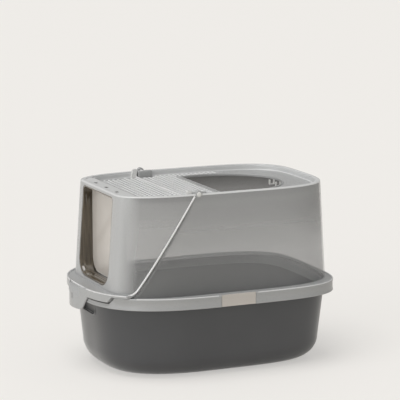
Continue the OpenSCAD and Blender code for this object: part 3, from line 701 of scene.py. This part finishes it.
def lap_lip():
    """The lip of the hood that the cheeks close against, cut out along the seam."""
    inside, outside, top = 2 * wall, wall + close_gap, deck_z - wall
    profile = [(inside, plate_top), (inside, top), (outside, top), (outside, plate_top)]
    lip = loft("lap_lip", [(hood_outline(z, inset), z) for inset, z in profile], closed=True,
               finishes=(hood_inner_painted_shade,))
    band = boolean(cover_area(lap_w * 0.7, plate_low), cover_area(-lap_w / 3, plate_low - OVER))
    return boolean(lip, band, "INTERSECT")


def hinge_lugs():
    """The two lugs on the rear deck that carry the hinge pins."""
    lug_x = hinge_x - lug_l / 3
    return [side_box("lug", side, (lug_x, deck_side(0) - lug_w, deck_z - OVER),
                     (lug_x + lug_l, deck_side(0), hinge_z + 3), lug_edge) for side in (-1, 1)]


def rear_hood():
    walls = drawn_shell(plate_top - OVER, (hood_solid, hood_outer, hood_inner_painted_shade, rim_painted_highlight))
    boolean(walls, cover_zone(close_gap, 0))
    boolean(walls, prism("entry_cut", entry_outline(0), plan_view, deck_z - PAST, deck_z + PAST))
    return join([walls, entry_rim(), inner_rib(), lap_lip(), flange_ring()] + hinge_lugs(),
                "rear_hood_shell", hood_solid)


def cover_walls():
    """Front face, cheeks, bar and front deck, with the doorway and the slots over the flap's bars."""
    walls = drawn_shell(ledge_split, (cover_solid, cover_outer, cover_inner_painted_shade, rim_painted_highlight))
    boolean(walls, cover_zone(0, 0), "INTERSECT")
    doorway = rounded_rectangle((-door_w / 2, door_low), (door_w / 2, door_top), door_low_r, door_top_r)
    boolean(walls, prism("doorway", doorway, front_view, -FAR, bar_back - rim_w - wall - OVER))
    slot_depth = 9
    for y in (-hook_pitch, 0, hook_pitch):
        low = (flap_plane - bar_slot_l / 2, y - bar_slot_w / 2, hood_top - slot_depth)
        high = (flap_plane + bar_slot_l / 2, y + bar_slot_w / 2, hood_top + slot_depth)
        boolean(walls, box("bar_slot", low, high))
    return walls


def skirt_ends(foot):
    """Carries the skirt on to its short steep step at each end, and trims what runs past it."""
    ends = []
    band = [(-skirt_proud, skirt_low), (-skirt_proud, cover_low + OVER), (-close_gap, cover_low + OVER),
            (-close_gap, skirt_low)]
    start, finish, aside, back = skirt_half - 3 * OVER, skirt_end + skirt_run, 200, -200
    for side in (-1, 1):
        slope = [(side * skirt_end, skirt_low), (side * finish, cover_low)]
        trim = ([(side * skirt_end, skirt_low - OVER)] + slope
                + [(side * aside, cover_low), (side * aside, skirt_low - OVER)])
        boolean(foot, prism("skirt_trim", trim, front_view, -FAR, back))
        keep = ([(side * start, skirt_low)] + slope
                + [(side * finish, cover_low + 2 * OVER), (side * start, cover_low + 2 * OVER)])
        ends.append(boolean(swept("skirt_end", ring_outline, band, (ledge_plastic,)),
                            prism("skirt_keep", keep, front_view, -FAR, back), "INTERSECT"))
    return ends


def cover_foot():
    """Ledge, skirt and tongue: the part's own, with the skirt's ends redrawn and the slit's walls in
    painted shade.
    """
    foot = part_copy("front_cover")
    edit(foot)
    bpy.ops.mesh.bisect(plane_co=(0, 0, ledge_split * MM), plane_no=(0, 0, 1),
                        use_fill=True, clear_outer=True)
    leave_edit()
    ends = skirt_ends(foot)
    foot.data.materials.clear()
    for finish in (ledge_plastic, slit_painted_shade):
        foot.data.materials.append(finish)
    for face in foot.data.polygons:
        x, y, z = face.center / MM
        if x < centre_x - ring_l / 2 and abs(y) < slit_w / 2 + 0.1 and abs(face.normal.y) > 0.9:
            face.material_index = 1
    return foot, ends


def seam_ridge():
    half = deck_side(0) - block_w - close_gap
    ridge = box("seam_ridge", (seam_x - bead_w, -half, deck_z - OVER), (seam_x, half, deck_z + ridge_show),
                soft_edge)
    # The ridge is painted near white as a painted highlight.
    ridge.data.materials.append(edge_painted_highlight)
    return ridge


def hinge_ears():
    """The two round ears that turn on the hinge pins, with softened rims."""
    ears = []
    ear_in, ear_out = hood_form(deck_z, rim_w).half, hood_form(hinge_z, 0).half - close_gap
    for side in (-1, 1):
        middle = world_point(hinge_x, side * (ear_in + ear_out) / 2, hinge_z)
        bpy.ops.mesh.primitive_cylinder_add(vertices=48, radius=ear_r * MM, depth=(ear_out - ear_in) * MM,
                                            location=middle, rotation=(math.pi / 2, 0, 0))
        ear = bpy.context.active_object
        bpy.ops.object.transform_apply(location=True, rotation=True, scale=True)
        edit(ear)
        bpy.ops.mesh.select_all(action="DESELECT")
        mesh = bmesh.from_edit_mesh(ear.data)
        for edge in mesh.edges:
            edge.select = len(edge.link_faces) == 2 and edge.calc_face_angle(0) > 1
        bmesh.update_edit_mesh(ear.data)
        bpy.ops.mesh.select_mode(type="EDGE")
        bpy.ops.mesh.bevel(offset=soft_edge * MM, segments=3)
        leave_edit()
        ears.append(ear)
    return ears


def front_cover():
    walls = cover_walls()
    foot, ends = cover_foot()
    return join([walls, foot, seam_ridge()] + ends + hinge_ears(), "front_cover_shell", cover_solid)


# Beads along the cover's and the ring's edges

def rod(name, path, radius):
    """A round bead drawn along a line of points in the ring's frame."""
    bpy.ops.curve.primitive_nurbs_path_add()
    piece = bpy.context.active_object
    line = piece.data.splines[0]
    line.points.add(len(path) - len(line.points))
    for point, place in zip(line.points, path):
        point.co = world_point(*place) + (1,)
    line.order_u = 3
    line.use_endpoint_u = True
    line.resolution_u = 2
    piece.data.bevel_depth = radius * MM
    piece.data.bevel_resolution = 3
    piece.data.use_fill_caps = True
    bpy.ops.object.convert(target="MESH")
    piece = bpy.context.active_object
    piece.name = name
    piece.location = (0, 0, 0)
    edit(piece)
    bpy.ops.mesh.remove_doubles(threshold=0.02 * MM)
    face_outwards()
    return piece


def bead_side():
    """Middle line of the bead, from the cover's nose along the ledge and up the cheek's edge."""
    ledge = ring_form(bead_r - skirt_proud)
    bead_z, turn_z, out = cover_low + ledge_t, cover_low + 5.5, 0.4
    last_x = hood_front + cheek_run / 2
    last_y = half_width(ledge, last_x)
    path = [(front_x(ledge, last_y * s), last_y * s, bead_z) for s in steps(60)]
    cheek = [(x, z) for x, z in seam_line(-bead_r, turn_z, cheek_top[1]) if z > bead_z]
    foot_x, foot_z = cheek[0]
    foot = (foot_x, half_width(hood_form(foot_z, 0), foot_x) + out, foot_z)
    path += [between((last_x, last_y, bead_z), foot, s) for s in steps(6)]
    rise = cheek[:-1] + [between(cheek[-2], cheek[-1], s) for s in steps(30)] + cheek[-1:]
    return path + [(x, half_width(hood_form(z, 0), x) + out, z) for x, z in rise]


def edge_bead():
    side = bead_side()
    path = [(x, -y, z) for x, y, z in reversed(side)] + side[1:]
    return rod("cover_edge_bead", path, bead_r)


def ring_beads():
    """The bead along the ring's upper edge, from one side of the cover round the rear to the other."""
    runs, run = [], []
    inset, sunk, latch_clear = 1.5, 1.1, 3
    for x, y in ring_outline(inset):
        if x > hood_front + cheek_run and abs(x - latch_x) > latch_w / 2 + latch_clear:
            run.append((x, y, ring_top - sunk))
        elif run:
            runs.append(run)
            run = []
    return join([rod("ring_bead", run, ring_bead_r) for run in runs], "ring_top_bead_painted_highlight")


# Pan

def floor_curve(radius, low, inset):
    """Side view [z, inset] of the round between a floor and its wall."""
    return [(low + radius * (1 - math.cos(turn)), inset + radius * (1 - math.sin(turn)))
            for turn in quarter_turn(12)]


def recess_outline(grow):
    """Front view of the finger recess, or of the boss round it where it is grown."""
    return rounded_rectangle((-recess_w / 2 - grow, ring_z - recess_h - grow),
                             (recess_w / 2 + grow, ring_z + grow), recess_r + grow, recess_r / 2 + grow)


def litter_pan():
    """The pan drawn as one shell with a rounded floor, and a finger recess under the tongue."""
    rise = [pan_round + (plate_low - wall - pan_round) * k / 16 for k in range(1, 17)]
    lip = wall + lip_gap
    levels = floor_curve(pan_round, 0, pan_inset_low) + [(z, pan_inset(z)) for z in rise]
    levels += [(plate_low - wall, lip + pan_edge), (plate_low - wall + pan_edge, lip),
               (plate_low - pan_edge, lip), (plate_low, lip + pan_edge)]
    levels += [(z, pan_inset(z) + wall) for z in [plate_low] + rise[::-1][1:]]
    levels += floor_curve(pan_round - wall, wall, pan_inset_low + wall)[::-1]
    pan = loft("pan_shell", [(ring_outline(inset), z) for z, inset in levels], finishes=(pan_plastic,))
    face = -ring_l / 2 + pan_inset(ring_z - recess_h / 2)
    back = face + recess_d
    boss = prism("recess_boss", recess_outline(wall), front_view, face + 1.6, back + wall)
    for piece in (pan, boss):
        boolean(piece, prism("recess", recess_outline(0), front_view, -FAR, back))
    return join([pan, boss], "pan_shell", pan_plastic)


# Grip studs on the decks

def grip_studs(name, inside):
    """Low round studs; one is shaped, then set out in rows and trimmed to its deck."""
    start_x, start_y, along, across, sunk = -280, -215, 54, 34, 0.1
    bpy.ops.mesh.primitive_circle_add(vertices=8, radius=stud_r * MM, fill_type="NGON",
                                      location=world_point(start_x, start_y, deck_z - sunk))
    piece = bpy.context.active_object
    piece.name = piece.data.name = name
    bpy.ops.object.transform_apply(location=True)
    edit(piece)
    for share in (0.8, 0.2):
        bpy.ops.mesh.inset(thickness=stud_step * MM, depth=stud_h * share * MM)
    fill_open_edges()
    face_outwards()
    size = len(piece.data.vertices)
    for axis, gap, count in ((0, stud_pitch, along), (1, stud_row, across)):
        rows = piece.modifiers.new("rows", "ARRAY")
        rows.use_relative_offset = False
        rows.use_constant_offset = True
        rows.constant_offset_displace = tuple(gap * MM * (k == axis) for k in range(3))
        rows.count = count
        bpy.ops.object.modifier_apply(modifier="rows")
    edit(piece)
    bpy.ops.mesh.select_all(action="DESELECT")
    mesh = bmesh.from_edit_mesh(piece.data)
    mesh.verts.ensure_lookup_table()
    for start in range(0, len(mesh.verts), size):
        stud = mesh.verts[start:start + size]
        middle = sum((v.co for v in stud), Vector()) / size / MM
        if not inside(middle.x - centre_x, abs(middle.y)):
            for vertex in stud:
                vertex.select = True
    bmesh.update_edit_mesh(piece.data)
    bpy.ops.mesh.delete(type="VERT")
    leave_edit()
    return piece


def on_deck(x, y):
    form = hood_form(deck_z, rim_w + rim_clear)
    return bar_back + bar_clear < x < form.rear - rear_clear and y < half_width(form, x)


def on_front_deck(x, y):
    by_block = x > seam_x - block_clear_x and y > deck_side(0) - block_clear_y
    return on_deck(x, y) and x < seam_x - bead_w - seam_clear and not by_block


def on_rear_deck(x, y):
    """Between the seam and the entry's rear part, clear of the lugs and of the entry's rim."""
    by_lug = x < hinge_x + lug_clear_x and y > deck_side(0) - lug_w - lug_clear_y
    if not on_deck(x, y) or not seam_x + seam_clear < x < studs_end or by_lug:
        return False
    along, across = (x - entry_c) / (entry_l + entry_clear_x), y / (entry_w + entry_clear_y)
    return x < entry_x - entry_clear or along ** 2 + across ** 2 > 1


# All pieces, each made and then finished

bpy.ops.object.select_all(action="DESELECT")
finish_piece(rear_hood(), SHELL_ANGLE, "base", "hood_smoke", "rear_hood")
finish_piece(front_cover(), SHELL_ANGLE, "cover", "cover_smoke", "front_cover")
# The cover's bead is painted near white as a painted highlight.
finish_piece(edge_bead(), BEAD_ANGLE, "cover", "cover_smoke", material=edge_painted_highlight)
for name, body, slot_name, inside in (("front_deck_studs", "cover", "cover_smoke", on_front_deck),
                                      ("rear_deck_studs", "base", "hood_smoke", on_rear_deck)):
    finish_piece(grip_studs(name, inside), STUD_ANGLE, body, slot_name, material=stud_painted_highlight)
finish_piece(litter_pan(), PAN_ANGLE, "base", "pan_grey", "litter_pan")
# The ring's bead carries a painted highlight: a pale line along the ring's edge.
finish_piece(ring_beads(), BEAD_ANGLE, "base", "hood_smoke", material=ring_edge_painted_highlight)

copies = [("door_liner", "cover", "liner_brown"), ("door_flap", "flap", "flap_clear")]
for side in ("near", "far"):
    copies += [("hinge_pin_" + side, "base", "trim_white"), ("seam_block_" + side, "cover", "trim_white"),
               ("side_latch_" + side, "latch_" + side, "latch_clear"),
               ("latch_pin_" + side, "base", "pin_steel"), ("scoop_hook_" + side, "base", "trim_white")]
for node, body, slot_name in copies:
    finish_piece(part_copy(node), SHELL_ANGLE, body, slot_name, node)


# Floor, light and camera

def stage_floor():
    bpy.ops.mesh.primitive_plane_add(size=60, location=(0, 0, 0))
    floor = bpy.context.active_object
    floor.name = "floor"
    material, tree = new_material("matt_pale_floor")
    shader = add(tree, "ShaderNodeBsdfPrincipled", {"Base Color": linear("#eeebe6"), "Roughness": 0.75})
    even = add(tree, "ShaderNodeEmission", {"Color": linear("#f8f6f3")})
    seen = add(tree, "ShaderNodeMath", {"operation": "MULTIPLY", 1: 0.5},
               Value=add(tree, "ShaderNodeLightPath").outputs["Is Camera Ray"])
    mix = add(tree, "ShaderNodeMixShader", Fac=seen.outputs[0])
    tree.links.new(shader.outputs[0], mix.inputs[1])
    tree.links.new(even.outputs[0], mix.inputs[2])
    add(tree, "ShaderNodeOutputMaterial", Surface=mix.outputs[0])
    floor.data.materials.append(material)


def sun(name, aim, watts, spread):
    """A far, wide soft light: lights the floor evenly to its far edge."""
    bpy.ops.object.light_add(type="SUN", location=(0, 0, 3))
    lamp = bpy.context.active_object
    lamp.name = name
    lamp.data.energy = watts
    lamp.data.angle = math.radians(spread)
    lamp.rotation_euler = Vector(aim).to_track_quat("-Z", "Y").to_euler()


def world_light(strength):
    """A pale even sky, which the camera sees at full strength and which lights the box at less."""
    world = bpy.data.worlds.new("studio")
    world.use_nodes = True
    tree = world.node_tree
    tree.nodes.clear()
    path = add(tree, "ShaderNodeLightPath")
    dim = add(tree, "ShaderNodeBackground", {"Color": linear("#f4f2ef"), "Strength": strength})
    pale = add(tree, "ShaderNodeBackground", {"Color": linear("#f4f2ef"), "Strength": 1.0})
    mix = add(tree, "ShaderNodeMixShader")
    tree.links.new(path.outputs["Is Camera Ray"], mix.inputs[0])
    tree.links.new(dim.outputs[0], mix.inputs[1])
    tree.links.new(pale.outputs[0], mix.inputs[2])
    add(tree, "ShaderNodeOutputWorld", Surface=mix.outputs[0])
    bpy.context.scene.world = world


def photo_camera():
    """The photo's camera, as fitted to the outlines of the box: a long lens from the left and above."""
    place = Vector((-2.086, -4.727, 1.359))
    aim = Vector((0.0311, 0.0290, 0.4036))
    bpy.ops.object.camera_add(location=place)
    camera = bpy.context.active_object
    camera.data.lens = 184.6
    camera.data.sensor_width = 36
    camera.rotation_euler = (aim - place).to_track_quat("-Z", "Y").to_euler()
    bpy.context.scene.camera = camera


stage_floor()
world_light(strength=0.44)
sun("top_sun", aim=(0.25, 0.1, -1), watts=1.5, spread=40)
sun("left_sun", aim=(1, 0.42, -0.16), watts=1.4, spread=60)
photo_camera()
bpy.context.scene.view_settings.view_transform = "Standard"
